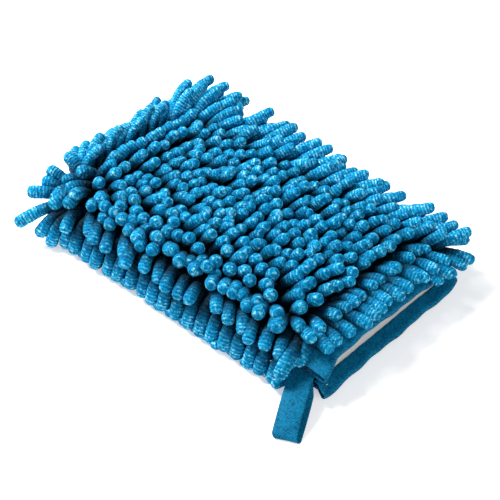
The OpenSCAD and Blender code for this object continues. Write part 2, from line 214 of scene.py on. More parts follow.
# %% Pouch formulas, in millimetres
panel_low, panel_high = [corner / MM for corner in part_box("top_panel")]
under_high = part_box("bottom_panel")[1] / MM
X_CLOSED = panel_low.x
X_LIP = panel_high.x
X_CUFF = under_high.x
HALF_W = panel_high.y
CORNER_R = 24.0
CORNER_X = X_CLOSED + CORNER_R
CORNER_Y = HALF_W - CORNER_R
ROLL_W = 14.0
SEAM_Z = 14.7
SEAM_GAP = 4.8
FLOOR_Z = 11.3
EDGE_LIFT = 1.0
CEILING_RISE = 3.2
CROWN_H, CROWN_SHIFT = 4.0, 12.0
TOP_SAG, BOTTOM_SAG = 3.0, 4.0
BACKING_T, LINING_T, PLY_GAP = 1.6, 0.8, 0.3
STACK_T = BACKING_T + LINING_T + PLY_GAP
TAPE_T, TAPE_LEG = 0.9, 12.0
FIRST_EDGE = X_CLOSED + ROLL_W
LAST_EDGE = X_LIP - TAPE_LEG - 2 * PLY_GAP


def half_width(x):
    into = max(0.0, min(CORNER_R, CORNER_X - x))
    return CORNER_Y + math.sqrt(CORNER_R ** 2 - into ** 2)


def roll(distance):
    return math.sin(math.pi / 2 * max(0.0, min(1.0, distance / ROLL_W)))


def fullness(x, y):
    return roll(half_width(x) - abs(y)) * roll(x - X_CLOSED)


def ease(start, end, value):
    share = max(0.0, min(1.0, (value - start) / (end - start)))
    return share * share * (3 - 2 * share)


def sag(x, lip):
    return max(0.0, x - LAST_EDGE) / (lip - LAST_EDGE)


def pocket_floor(x, y):
    return FLOOR_Z + EDGE_LIFT - fullness(x, y) * (EDGE_LIFT + BOTTOM_SAG * sag(x, X_CUFF))


def pocket_ceiling(x, y):
    crown = CROWN_H * (1 - ((y + CROWN_SHIFT) / (HALF_W + CROWN_SHIFT)) ** 2)
    rise = CEILING_RISE + crown - TOP_SAG * sag(x, X_LIP) * (1 + 0.8 * ease(-40, 40, y))
    return SEAM_Z + SEAM_GAP / 2 + fullness(x, y) * rise


def top_face(x, y):
    return pocket_ceiling(x, y) + STACK_T


def bottom_face(x, y):
    return pocket_floor(x, y) - STACK_T


print("Pouch from x", round(X_CLOSED, 1), "to", round(X_CUFF, 1), "mm, crown at", round(top_face(0, -12), 1))

# %% [markdown]
# ## Chenille yarn
# Chenille is a core thread with short microfibre pile standing out all round it, so a noodle has no
# hard outline: it shows fine flecks where the pile catches light, cross ridges where the core is
# twisted, and deep dark where two noodles meet. The flecks are about 1 mm and the ridges 2.2 mm apart.
# Each noodle carries two numbers of its own, the distance along it and a random tint, and the finish
# reads those, so the ridges follow every bend. The tips are paler, partly for their frosted fibre ends and
# partly as a painted highlight where the lamp falls on them, and the roots fade almost to black, because
# the crowd of noodles keeps the light from them. A single fibre is far finer than the picture can show, so
# a fleck stands for a bunch of pile. Such pile has next to no gloss.

# %% Pattern of the chenille's pile
FLECK, CLUMP, RIDGE = 1.1, 2.6, 2.2

chenille, tree, shader = new_finish("microfibre_chenille_cut_pile")
place = add(tree, "ShaderNodeTexCoord", {}, {}).outputs["Object"]
along = add(tree, "ShaderNodeAttribute", {"attribute_name": "along"}, {}).outputs["Fac"]
tuft = add(tree, "ShaderNodeAttribute", {"attribute_name": "tuft"}, {}).outputs["Fac"]
fleck = add(tree, "ShaderNodeTexNoise", {},
            {"Vector": place, "Scale": 1000 / FLECK, "Detail": 1.0, "Roughness": 0.5}).outputs["Fac"]
clump = add(tree, "ShaderNodeTexNoise", {},
            {"Vector": place, "Scale": 1000 / CLUMP, "Detail": 1.0}).outputs["Fac"]
turns = add(tree, "ShaderNodeMath", {"operation": "MULTIPLY"}, {0: along, 1: 2 * math.pi / RIDGE}).outputs[0]
wander = add(tree, "ShaderNodeMath", {"operation": "MULTIPLY_ADD"}, {0: clump, 1: 3.2, 2: turns}).outputs[0]
ridge = add(tree, "ShaderNodeMath", {"operation": "SINE"}, {0: wander}).outputs[0]
fine = add(tree, "ShaderNodeMath", {"operation": "MULTIPLY"}, {0: fleck, 1: 0.7}).outputs[0]
pile = add(tree, "ShaderNodeMath", {"operation": "MULTIPLY_ADD"}, {0: clump, 1: 0.8, 2: fine}).outputs[0]
pile = add(tree, "ShaderNodeMath", {"operation": "MULTIPLY_ADD"}, {0: ridge, 1: 0.12, 2: pile}).outputs[0]
print("Pile of", FLECK, "mm flecks,", CLUMP, "mm clumps and", RIDGE, "mm ridges")

# %% Finish: dyed microfibre chenille, cut pile
FROST_AND_HIGHLIGHT_FROM, FROST_AND_HIGHLIGHT_TO = 15.0, 24.0
DARK_FROM, DARK_TO = 8.5, 24.0

# The pile pattern sets the colour as well as the bump. Its clumps are the pile's random tone, its pale flecks
# are partly random tone and partly painted glints, and the lighter ridge crests and darker valleys are
# painted highlight and painted shade
share = add(tree, "ShaderNodeMapRange", {},
            {"Value": pile, "From Min": 0.36, "From Max": 1.25}).outputs["Result"]
# Painted highlight on the tips, partly their frosted fibre ends: the last millimetres are lifted towards the
# pale colours
frost_and_highlight = add(tree, "ShaderNodeMapRange", {},
            {"Value": along, "From Min": FROST_AND_HIGHLIGHT_FROM, "From Max": FROST_AND_HIGHLIGHT_TO, "To Max": 0.16}).outputs["Result"]
share = add(tree, "ShaderNodeMath", {"operation": "ADD"}, {0: share, 1: frost_and_highlight}).outputs[0]
shade = add(tree, "ShaderNodeValToRGB", {}, {"Fac": share})
shade.color_ramp.elements[0].position = 0.05
shade.color_ramp.elements[0].color = linear("#004E82")
shade.color_ramp.elements[1].position = 0.96
shade.color_ramp.elements[1].color = linear("#A4E2F2")
middle = shade.color_ramp.elements.new(0.48)
middle.color = linear("#0078AC")
lit = shade.color_ramp.elements.new(0.72)
lit.color = linear("#14A4CE")
tone = add(tree, "ShaderNodeMapRange", {}, {"Value": tuft, "To Min": 0.86, "To Max": 1.10}).outputs["Result"]
root = add(tree, "ShaderNodeMapRange", {"interpolation_type": "SMOOTHSTEP"},
           {"Value": along, "From Min": DARK_FROM, "From Max": DARK_TO,
            "To Min": 0.06, "To Max": 1.0}).outputs["Result"]
value = add(tree, "ShaderNodeMath", {"operation": "MULTIPLY"}, {0: tone, 1: root}).outputs[0]
dyed = add(tree, "ShaderNodeHueSaturation", {}, {"Color": shade.outputs["Color"], "Value": value})
bump = add(tree, "ShaderNodeBump", {}, {"Height": pile, "Distance": 1.1 * MM, "Strength": 0.9})
tree.links.new(dyed.outputs["Color"], shader.inputs["Base Color"])
tree.links.new(bump.outputs["Normal"], shader.inputs["Normal"])
shader.inputs["Roughness"].default_value = 0.55
shader.inputs["Specular IOR Level"].default_value = 0.06
shader.inputs["Sheen Weight"].default_value = 0.06
shader.inputs["Sheen Roughness"].default_value = 0.35
shader.inputs["Sheen Tint"].default_value = linear("#A8E4FA")
print("Finish:", chenille.name)

# %% [markdown]
# ## Base cloth, lining and tape
# The noodles are tufted through a knitted base cloth, dyed like them but drawn much darker, as a painted
# shade for the dark between the noodles. Inside lies a pale woven lining.
# Both lips of the cuff are bound with a blue twill tape, whose fine diagonal lines are 1.3 mm apart, and
# the hanging loop is a length of the same tape. A wave pattern turned by 20 degrees gives the twill, and
# two crossed waves give the knit and the weave. Real threads are finer than the picture can show, so all
# three are drawn coarser. A wave node of scale 1 has bands 314 mm apart.

# %% Finish: knitted polyester base cloth
# Dull loops of yarn with dark pits between them, and no gloss
WAVE_PERIOD = 314
STITCH_W, STITCH_H = 1.6, 1.2

base_cloth, tree, shader = new_finish("knitted_polyester_base_cloth")
place = add(tree, "ShaderNodeTexCoord", {}, {}).outputs["Object"]
stitch = add(tree, "ShaderNodeTexWave", {"wave_type": "BANDS", "bands_direction": "X"},
             {"Vector": place, "Scale": WAVE_PERIOD / STITCH_W,
              "Distortion": 1.0, "Detail": 1.0}).outputs["Fac"]
course = add(tree, "ShaderNodeTexWave", {"wave_type": "BANDS", "bands_direction": "Y"},
             {"Vector": place, "Scale": WAVE_PERIOD / STITCH_H,
              "Distortion": 1.0, "Detail": 1.0}).outputs["Fac"]
knit = add(tree, "ShaderNodeMath", {"operation": "MULTIPLY"}, {0: stitch, 1: course}).outputs[0]
# Painted shade: both blues of the knit are far darker than the noodles' dye
shade = add(tree, "ShaderNodeMix", {"data_type": "RGBA"},
            {"Factor": knit, 6: linear("#042644"), 7: linear("#075082")})
bump = add(tree, "ShaderNodeBump", {}, {"Height": knit, "Distance": 0.4 * MM})
tree.links.new(shade.outputs[2], shader.inputs["Base Color"])
tree.links.new(bump.outputs["Normal"], shader.inputs["Normal"])
shader.inputs["Roughness"].default_value = 0.9
shader.inputs["Specular IOR Level"].default_value = 0.2
print("Finish:", base_cloth.name)

# %% Finish: woven polyester lining
# A smooth pale cloth, off white, with a faint plain weave
LINING_THREAD = 1.0

lining, tree, shader = new_finish("woven_polyester_lining")
place = add(tree, "ShaderNodeTexCoord", {}, {}).outputs["Object"]
warp = add(tree, "ShaderNodeTexWave", {"bands_direction": "X"},
           {"Vector": place, "Scale": WAVE_PERIOD / LINING_THREAD}).outputs["Fac"]
weft = add(tree, "ShaderNodeTexWave", {"bands_direction": "Y"},
           {"Vector": place, "Scale": WAVE_PERIOD / LINING_THREAD}).outputs["Fac"]
weave = add(tree, "ShaderNodeMath", {"operation": "MULTIPLY"}, {0: warp, 1: weft}).outputs[0]
shade = add(tree, "ShaderNodeMix", {"data_type": "RGBA"},
            {"Factor": weave, 6: linear("#E8E6E2"), 7: linear("#FAF9F6")})
bump = add(tree, "ShaderNodeBump", {}, {"Height": weave, "Distance": 0.15 * MM})
tree.links.new(shade.outputs[2], shader.inputs["Base Color"])
tree.links.new(bump.outputs["Normal"], shader.inputs["Normal"])
shader.inputs["Roughness"].default_value = 0.75
shader.inputs["Specular IOR Level"].default_value = 0.25
print("Finish:", lining.name)

# %% Finish: twill tape
# Slanting lines of thread, deeper blue in the grooves, with a slow unevenness from handling
TWILL_LINE, TWILL_THREAD, TAPE_WEAR = 1.3, 1.4, 9.0
TWILL_SLANT = math.radians(20)

twill, tree, shader = new_finish("woven_polyester_twill_tape")
place = add(tree, "ShaderNodeTexCoord", {}, {}).outputs["Object"]
turned = add(tree, "ShaderNodeMapping", {}, {"Vector": place, "Rotation": (0, 0, TWILL_SLANT)}).outputs[0]
diagonal = add(tree, "ShaderNodeTexWave", {"bands_direction": "X"},
               {"Vector": turned, "Scale": WAVE_PERIOD / TWILL_LINE,
                "Distortion": 1.5, "Detail": 1.0}).outputs["Fac"]
thread = add(tree, "ShaderNodeTexNoise", {},
             {"Vector": place, "Scale": 1000 / TWILL_THREAD, "Detail": 2.0}).outputs["Fac"]
wear = add(tree, "ShaderNodeTexNoise", {},
           {"Vector": place, "Scale": 1000 / TAPE_WEAR, "Detail": 2.0}).outputs["Fac"]
weave = add(tree, "ShaderNodeMath", {"operation": "MULTIPLY_ADD"},
            {0: diagonal, 1: 0.2, 2: thread}).outputs[0]
weave = add(tree, "ShaderNodeMath", {"operation": "MULTIPLY_ADD"}, {0: wear, 1: 0.5, 2: weave}).outputs[0]
shade = add(tree, "ShaderNodeValToRGB", {}, {"Fac": weave})
shade.color_ramp.elements[0].position = 0.6
shade.color_ramp.elements[0].color = linear("#02486A")
shade.color_ramp.elements[1].position = 1.0
shade.color_ramp.elements[1].color = linear("#06769E")
bump = add(tree, "ShaderNodeBump", {}, {"Height": weave, "Distance": 0.3 * MM})
tree.links.new(shade.outputs["Color"], shader.inputs["Base Color"])
tree.links.new(bump.outputs["Normal"], shader.inputs["Normal"])
shader.inputs["Roughness"].default_value = 0.6
shader.inputs["Specular IOR Level"].default_value = 0.08
print("Finish:", twill.name)

# %% [markdown]
# ## From a bmesh to a piece
# Every piece ends in the same way: normals out, millimetres to metres, smooth shading, one finish in its
# material slot, and the CAD parts that it stands for hidden. The caller then sets the body that it rides
# on. A cloth is drawn as one thin layer and gets its thickness from Solidify.

# %% Piece helpers
def make_piece(name, bm, finish, stands_for=(), closed=True):
    if closed:
        bmesh.ops.recalc_face_normals(bm, faces=bm.faces)
    bmesh.ops.scale(bm, vec=(MM, MM, MM), verts=bm.verts)
    mesh = bpy.data.meshes.new(name)
    bm.to_mesh(mesh)
    bm.free()
    mesh.shade_smooth()
    mesh.materials.append(finish)
    piece = bpy.data.objects.new(name, mesh)
    bpy.context.scene.collection.objects.link(piece)
    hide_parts(*stands_for)
    return piece


def thicken(piece, thickness):
    wall = piece.modifiers.new("cloth_thickness", "SOLIDIFY")
    wall.thickness = thickness * MM
    wall.offset = 0


def subdivide(piece, levels):
    rounding = piece.modifiers.new("rounding", "SUBSURF")
    rounding.levels = levels
    rounding.render_levels = levels


def flat_area(piece):
    return sum(face.area for face in piece.data.polygons)


print("Piece helpers ready")

# %% [markdown]
# ## The four cloths of the pouch
# Each panel and each lining is one cut of cloth. It starts as a flat grid, as it would lie on the
# cutting table, and every point is then lifted to the pouch's own height there. The rounded corners come
# from the width, which shrinks towards the closed end. A plain grid keeps its threads straight, so no
# simulation is needed. A few shallow waves near the mouth keep the lining from looking like card.

# %% Cloth helpers
TURN_X = 90.0
MOUTH_CUT_BACK = 1.8


def turn_in(bm, level):
    """Turns a panel's edge in towards the seam round the three closed sides."""
    edges = [edge for edge in bm.edges if edge.is_boundary and max(vert.co.x for vert in edge.verts) < TURN_X]
    made = bmesh.ops.extrude_edge_only(bm, edges=edges)["geom"]
    for vert in [item for item in made if isinstance(item, bmesh.types.BMVert)]:
        vert.co.z = level


def make_cloth(name, lip, height, thickness, finish, inset=0.0, seam_level=None):
    """Lays a flat cut of cloth on the pouch. An inset cut is also drawn in from the seam at the mouth."""
    bm = bmesh.new()
    bmesh.ops.create_grid(bm, x_segments=72, y_segments=44, size=1.0)
    for vert in bm.verts:
        x = X_CLOSED + inset + (lip - X_CLOSED - inset) * (vert.co.x + 1) / 2
        drawn_in = inset * (1 + MOUTH_CUT_BACK * ease(92, 112, x))
        y = math.sin(math.pi / 2 * vert.co.y) * (half_width(x - inset) - drawn_in)
        vert.co = (x, y, height(x, y))
    if seam_level is not None:
        turn_in(bm, seam_level)
    piece = make_piece(name, bm, finish, [name], closed=False)
    # The crown and the turned-in edge add area that the flat cut doesn't have
    thicken(piece, thickness)
    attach(piece, "mitt")


print("Cloth helpers ready, edges turned in up to x", TURN_X, "mm")

# %% Panels and linings
def ripple(x, y):
    near_mouth = max(0.0, min(1.0, (x - 70) / 40)) * fullness(x, y)
    return near_mouth * 0.25 * math.sin(y / 9.0 + 0.4 * math.sin(x / 14))


def top_panel_middle(x, y):
    return top_face(x, y) - BACKING_T / 2


def bottom_panel_middle(x, y):
    return bottom_face(x, y) + BACKING_T / 2


def top_lining_middle(x, y):
    return pocket_ceiling(x, y) + LINING_T / 2 - 0.1 + ripple(x, y) / 2


def bottom_lining_middle(x, y):
    puff = 3.0 * fullness(x, y) * (ease(119, 112, x) - ease(106, 95, x))
    return pocket_floor(x, y) - LINING_T / 2 + 0.1 + ripple(x, -y) / 2 + puff


LINING_INSET, LINING_LOOK_T = 2.5, 0.6
SEAM_ROOM = 0.7
make_cloth("top_panel", X_LIP, top_panel_middle, BACKING_T, base_cloth,
           seam_level=SEAM_Z + SEAM_ROOM)
make_cloth("bottom_panel", X_CUFF, bottom_panel_middle, BACKING_T, base_cloth,
           seam_level=SEAM_Z - SEAM_ROOM)
make_cloth("top_lining", X_LIP, top_lining_middle, LINING_LOOK_T, lining, inset=LINING_INSET)
make_cloth("bottom_lining", X_CUFF, bottom_lining_middle, LINING_LOOK_T, lining, inset=LINING_INSET)

# %% [markdown]
# ## The turned-in seam
# Round three sides the panels are sewn right sides together and turned, so their raw edges lie inside
# the pouch as a band of plies. Two strips of grid, one above the other, follow the pouch's outline and
# leave a hair of air between them. It shows only from low down, behind the fringe, or through the mouth.

# %% Seam band
WELT_W, WELT_T = 5.0, 4.2
SEAM_FRONT_END, SEAM_REAR_END = 92.4, 104.2
PLY_AIR = 0.4


def outline_point(share, inset):
    """A point on the pouch's outline: front side, corner, closed end, corner, rear side."""
    radius = CORNER_R - inset
    side = HALF_W - inset
    bend = CORNER_R * math.pi / 2
    runs = [SEAM_FRONT_END - CORNER_X, bend, 2 * CORNER_Y, bend, SEAM_REAR_END - CORNER_X]
    way = share * sum(runs)
    if way <= runs[0]:
        return Vector((SEAM_FRONT_END - way, -side, 0))
    way -= runs[0]
    if way <= runs[1]:
        turn = way / CORNER_R
        return Vector((CORNER_X - radius * math.sin(turn), -CORNER_Y - radius * math.cos(turn), 0))
    way -= runs[1]
    if way <= runs[2]:
        return Vector((X_CLOSED + inset, -CORNER_Y + way, 0))
    way -= runs[2]
    if way <= runs[3]:
        turn = way / CORNER_R
        return Vector((CORNER_X - radius * math.cos(turn), CORNER_Y + radius * math.sin(turn), 0))
    return Vector((CORNER_X + way - runs[3], side, 0))


bm = bmesh.new()
for level in (-1, 1):
    ply = bmesh.ops.create_grid(bm, x_segments=140, y_segments=3, size=1.0)["verts"]
    for vert in ply:
        spot = outline_point((vert.co.x + 1) / 2, WELT_W * (vert.co.y + 1) / 2)
        vert.co = (spot.x, spot.y, SEAM_Z + level * WELT_T / 4 + 0.12 * math.sin(spot.x + spot.y))
seam = make_piece("edge_welt", bm, base_cloth, ["edge_welt"], closed=False)
thicken(seam, WELT_T / 2 - PLY_AIR)
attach(seam, "mitt")

# %% [markdown]
# ## Cuff tapes
# A binding tape is folded over each lip and sewn down on both faces. Its section is a straight leg, a
# half circle round the lip and another leg, so a grid is laid along that line and along the lip. The
# sewing draws the tape in a little between stitches, and the lip hangs in slow waves, so both go into
# the points. Subdivision rounds them off.

# %% Tapes round both lips
LIP_R = STACK_T / 2 + PLY_GAP + TAPE_T / 2
TAPE_HALF = 68.6
STITCH_DIP, STITCH_STEP, STITCH_LINE = 0.16, 1.35, 9.5


def folded_section(way, outer_leg):
    """Distance behind the lip's edge, and height, of a point along the folded tape."""
    if way < outer_leg:
        return outer_leg - way, LIP_R
    turn = (way - outer_leg) / LIP_R
    if turn < math.pi:
        return -LIP_R * math.sin(turn), LIP_R * math.cos(turn)
    return (turn - math.pi) * LIP_R, -LIP_R


def make_tape(name, lip, level, side, inner_leg):
    bm = bmesh.new()
    bmesh.ops.create_grid(bm, x_segments=26, y_segments=92, size=1.0)
    length = TAPE_LEG + math.pi * LIP_R + inner_leg
    for vert in bm.verts:
        behind, rise = folded_section((vert.co.x + 1) / 2 * length, TAPE_LEG)
        y = vert.co.y * TAPE_HALF
        x = lip - behind
        slope_x = min(x, lip)
        z = level(slope_x, y) + side * STACK_T / 2 + side * rise
        # Slow waves run along the lip and fade behind it
        edge = max(0.0, 1 - abs(behind) / 9)
        x += edge * (0.55 * math.sin(y / 7.3 + 0.8) + 0.35 * math.sin(y / 3.1))
        # The lip's front corner is pulled out and down, where the side seam ends
        corner = ease(-48, -66, y) * max(0.0, min(1.0, 1 - behind / 3.5))
        x += (4.0 + 2.0 * side) * corner
        y -= (1.2 - 1.2 * side) * corner
        z -= (1.8 - 0.6 * side) * corner
        stitched = max(0.0, 1 - abs(behind - STITCH_LINE) / 5)
        z += side * STITCH_DIP * math.sin(y / STITCH_STEP) * stitched * math.copysign(1, rise)
        vert.co = (x, y, z)
    piece = make_piece(name, bm, twill, [name], closed=False)
    area = flat_area(piece)
    thicken(piece, TAPE_T)
    subdivide(piece, 1)
    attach(piece, "mitt")
    print(name, "cut", round(length, 1), "by", 2 * TAPE_HALF, "mm, area", round(area * 1e4, 1), "cm2")


make_tape("top_cuff_tape", X_LIP + 2.2, pocket_ceiling, 1, 11.0)
make_tape("bottom_cuff_tape", X_CUFF + 1.5, pocket_floor, -1, 7.2)

# %% [markdown]
# ## Hanging loop
# The loop is one length of tape folded in two, with both ends caught in the side seam under the cuff.
# It is a single strip: out along the upper ply, round a tight fold, and back along the lower ply, which
# lies a little askew so that its edge peeps out. The strip crosses the hinge of the swing, so it bends
# there instead of breaking: the sewn end follows the mitt and the rest follows the loop.

# %% Loop and its sewn-in end
LOOP_W, LOOP_L, LOOP_GAP, LOOP_END_R = 15.4, 41.0, 8.0, 2.0
TAIL_L = 11.0
LOOP_SKEW, LOOP_CURL = 2.6, 0.5
LOOP_TURN = math.radians(26)
LOOP_ROOT = Vector((X_CUFF - 12.0, -HALF_W - PLY_GAP - LOOP_W / 2 * math.sin(LOOP_TURN), SEAM_Z))
LOOP_OUT = Vector((math.sin(LOOP_TURN), -math.cos(LOOP_TURN), 0))
LOOP_SIDE = Vector((math.cos(LOOP_TURN), math.sin(LOOP_TURN), 0))
LOOP_PITCH = math.asin((SEAM_Z - LOOP_END_R) / (LOOP_L - LOOP_END_R))


def ply_height(out):
    share = max(0.0, min(1.0, out / (LOOP_L - LOOP_END_R)))
    bow = math.sin(math.pi * share ** 0.9) * (LOOP_GAP / 2 + TAPE_T - LOOP_END_R) * 0.9
    return 0.5 + (LOOP_END_R - 0.95) * share + bow


def loop_section(share):
    """Distance out of the seam, height over the loop's middle, and how far round the fold."""
    straight = TAIL_L + PLY_GAP + LOOP_L - LOOP_END_R
    fold = math.pi * (LOOP_END_R - TAPE_T / 2)
    way = share * (2 * straight + fold)
    if way < straight:
        out = way - TAIL_L - PLY_GAP
        return out, ply_height(out), 0.0
    if way < straight + fold:
        turn = (way - straight) / fold
        reach = LOOP_END_R - TAPE_T / 2
        return LOOP_L - LOOP_END_R + reach * math.sin(math.pi * turn), reach * math.cos(math.pi * turn), turn
    out = 2 * straight + fold - way - TAIL_L - PLY_GAP
    return out, -ply_height(out), 1.0


bm = bmesh.new()
bmesh.ops.create_grid(bm, x_segments=90, y_segments=8, size=1.0)
for vert in bm.verts:
    out, rise, turned = loop_section((vert.co.x + 1) / 2)
    aside = vert.co.y * LOOP_W / 2 + 0.5 + LOOP_SKEW * turned * max(0.0, min(1.0, out / 8))
    drop = math.sin(LOOP_PITCH) * max(0.0, out)
    level = math.cos(LOOP_PITCH) * out if out > 0 else out
    curl = LOOP_CURL * (vert.co.y ** 2) * max(0.0, min(1.0, out / 10))
    spot = LOOP_ROOT + LOOP_OUT * level + LOOP_SIDE * aside
    vert.co = spot + Vector((0, 0, rise - drop - curl))
loop = make_piece("hang_loop", bm, twill, ["hang_loop", "loop_tail"], closed=False)
thicken(loop, TAPE_T)
subdivide(loop, 1)
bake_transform(loop, "mitt", "loop",
         start=tuple((LOOP_ROOT - LOOP_OUT * 0.3) * MM), end=tuple((LOOP_ROOT + LOOP_OUT * 7) * MM))

# %% [markdown]
# ## A noodle
# A noodle is a length of chenille about as thick as a pencil, rooted in the base cloth and free at its
# tip. It starts as a six-sided cone of even width with eight bands along it, which is a few dozen faces.
# Its rings are then moved onto a bent line that leaves the cloth nearly upright and leans over towards
# the tip, and Subdivision rounds it. The last three rings keep their distance from the tip, so a long
# noodle ends as bluntly as a short one.

# %% A noodle's bent line
STATIONS = (0.0, 0.10, 0.26, 0.42, 0.58, 0.74, 0.86, 0.95, 1.0)
GIRTH = (0.80, 0.94, 0.94, 0.96, 1.01, 1.06, 1.07, 0.86, 0.38)
SIDES = 6
NOODLE_L = 24.0
ROUNDING = (4 + 2 * math.cos(2 * math.pi / SIDES)) / 6


def between(values, share):
    spot = max(0.0, min(1.0, share)) * (len(values) - 1)
    first = min(int(spot), len(values) - 2)
    return values[first] + (values[first + 1] - values[first]) * (spot - first)


def ring_shares(length):
    """Share of the length at which each ring sits. The last three keep their distance from the tip."""
    blunt = [1 - (1 - share) * NOODLE_L / length for share in STATIONS[-3:]]
    return list(STATIONS[:-3]) + blunt


def noodle_spine(noodle):
    """Centre, heading and sideways direction of each ring along a noodle."""
    spine, spot, steps = [], Vector(noodle["root"]), 40
    marks = {round(share * steps) for share in ring_shares(noodle["length"])}
    for step in range(steps + 1):
        share = step / steps
        lean = math.radians(between(noodle["leans"], share))
        bearing = math.radians(noodle["bearing"] + noodle["swing"] * share)
        flat = Vector((math.cos(bearing), math.sin(bearing), 0))
        heading = flat * math.sin(lean) + Vector((0, 0, math.cos(lean)))
        if step in marks:
            spine.append((spot.copy(), heading, Vector((-flat.y, flat.x, 0))))
        spot += heading * noodle["length"] / steps
    return spine


print("A noodle has", SIDES * (len(STATIONS) - 1) + 2, "faces before rounding")

# %% [markdown]
# ## A noodle's skin
# The finish needs to know where on a noodle it is, so every ring writes down its distance from the root.
# Each noodle's skin also gets its own cell of a square map, unrolled like a label, so that the colours
# can be baked without two noodles sharing a spot.

# %% A noodle's skin
def lay_out_skin(faces, bake_map, cell, cells):
    """Gives each end cap a small disc, and the sides the rest of the noodle's cell."""
    column, row = cell % cells, cell // cells
    for face in faces:
        turns = [math.atan2(loop.vert.co.y, loop.vert.co.x) / (2 * math.pi) % 1.0 for loop in face.loops]
        for loop, turn in zip(face.loops, turns):
            if len(face.verts) == SIDES:
                u = 0.5 + 0.08 * math.cos(2 * math.pi * turn)
                v = (0.05 if loop.vert.co.z < 0 else 0.95) + 0.03 * math.sin(2 * math.pi * turn)
            else:
                if max(turns) - min(turns) > 0.5 and turn < 0.5:
                    turn += 1
                u = 0.03 + 0.94 * turn / (1 + 1 / SIDES)
                v = 0.12 + 0.76 * (loop.vert.co.z + 0.5)
            loop[bake_map].uv = ((column + u) / cells, (row + v) / cells)


def add_noodle(bm, noodle, number, cells):
    made = bmesh.ops.create_cone(bm, cap_ends=True, segments=SIDES, radius1=1, radius2=1, depth=1)
    long_edges = {edge for vert in made["verts"] for edge in vert.link_edges
                  if abs(edge.verts[0].co.z - edge.verts[1].co.z) > 0.5}
    bmesh.ops.subdivide_edges(bm, edges=list(long_edges), cuts=len(STATIONS) - 2, use_grid_fill=False)
    bm.verts.ensure_lookup_table()
    ring_count = SIDES * len(STATIONS)
    verts = bm.verts[-ring_count:]
    faces = {face for vert in verts for face in vert.link_faces}
    lay_out_skin(faces, bm.loops.layers.uv["OFBake"], number, cells)
    spine = noodle_spine(noodle)
    shares = ring_shares(noodle["length"])
    for vert in verts:
        ring = round((vert.co.z + 0.5) * (len(STATIONS) - 1))
        spot, heading, aside = spine[ring]
        over = heading.cross(aside)
        reach = noodle["radius"] * GIRTH[ring] / ROUNDING
        vert[bm.verts.layers.float["along"]] = shares[ring] * noodle["length"]
        vert[bm.verts.layers.float["tuft"]] = noodle["tint"]
        vert.co = spot + reach * (aside * vert.co.x * noodle["flat"] + over * vert.co.y / noodle["flat"])


print("Skin helpers ready, with", SIDES, "sides to a noodle")

# %% [markdown]
# ## Many noodles, one piece
# A row of noodles is one piece, as it is one strip of tufts on the real mitt. A cloud pattern pushes the
# skin in and out by a fraction of a millimetre, as uneven pile does, so the outline is never quite round.
# Chance gives each noodle its own bearing, sway, length and tint, from a seed, so every run is the same.

# %% Noodles into a piece
LUMP, LUMP_DEPTH = 1.7, 0.8
lumps = bpy.data.textures.new("uneven_pile", "CLOUDS")
lumps.noise_scale = LUMP * MM
lumps.noise_depth = 1


def make_noodles(name, noodles, stands_for, levels=2):
    bm = bmesh.new()
    bm.loops.layers.uv.new("OFBake")
    bm.verts.layers.float.new("along")
    bm.verts.layers.float.new("tuft")
    cells = math.ceil(math.sqrt(len(noodles)))
    for number, noodle in enumerate(noodles):
        add_noodle(bm, noodle, number, cells)
    piece = make_piece(name, bm, chenille, stands_for)
    subdivide(piece, levels)
    fuzz = piece.modifiers.new("uneven_pile", "DISPLACE")
    fuzz.texture = lumps
    fuzz.texture_coords = "LOCAL"
    fuzz.strength = LUMP_DEPTH * MM
    fuzz.mid_level = 0.5
    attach(piece, "mitt")


NOODLE_R = 3.7
SWAY, FAN, SWING = 5, 11, 10
LENGTH_SPREAD, GIRTH_SPREAD = 0.05, 0.03


def noodle(chance, root, bearing, leans, length, loose=1.0, flat=1.0, radius=NOODLE_R, turn=0.0):
    sway = chance.gauss(0, SWAY) * loose
    return {
        "root": root,
        "bearing": bearing + chance.gauss(0, FAN) * loose,
        "swing": turn + chance.gauss(0, SWING) * loose,
        "leans": [lean + sway * (0.4 + index / len(leans)) for index, lean in enumerate(leans)],
        "length": length * (1 + chance.gauss(0, LENGTH_SPREAD) * loose),
        "radius": radius * (1 + chance.gauss(0, GIRTH_SPREAD)),
        "tint": chance.random(),
        "flat": flat,
    }


print("Noodles are", 2 * NOODLE_R, "mm thick and", NOODLE_L, "mm long on top")

# %% [markdown]
# ## The pile on top
# The top carries twenty-two rows across the mitt, about thirteen noodles each. They don't all lean the
# same way: most are combed towards the cuff, those at the rear a little to the far side as well, those
# along the front fall forwards from a parting, and the last rows lie out over the cuff's tape. One function
# gives that combing at any place. All rows but the first and the last have one thicker noodle more at the
# parting, where the cloth would show, like a brow over the fringe.

# %% Combing
def combing(x, y):
    """Bearing, and the leans from root to tip, of a noodle that is rooted at x, y on top."""
    # How far the root lies into each region, from 0 to 1
    near = ease(-29, -46, y)
    fallen = ease(-46, -52, y)
    rear = ease(26, 60, y)
    cuff = ease(74, 99, x)
    closed = ease(-94, -112, x)
    # An arrow on the cloth: where it points gives the bearing, and its length the lean
    push = Vector((0.76, 0.12)).lerp(Vector((0.98, -0.06)), ease(20, -60, x))
    push = push.lerp(Vector((0.80, 0.42)), rear)
    push = push.lerp(Vector((0.74, -0.50)) * (1 + 0.25 * ease(20, -60, x)), near)
    push = push.lerp(Vector((0.60, 0.34 - 0.9 * near)), closed)
    push = push.lerp(Vector((0.78 - 0.5 * closed, -0.98)), fallen)
    push = push.lerp(Vector((1.28, 0.05 - 0.22 * near + 0.3 * rear)), cuff)
    strength = push.length
    root = 6 + 14 * strength + 18 * cuff
    tip = 57 * strength + 10 * fallen * (1 - cuff) + 22 * cuff
    return math.degrees(math.atan2(push.y, push.x)), [root, root + (tip - root) * 0.55, tip * 0.95, tip]


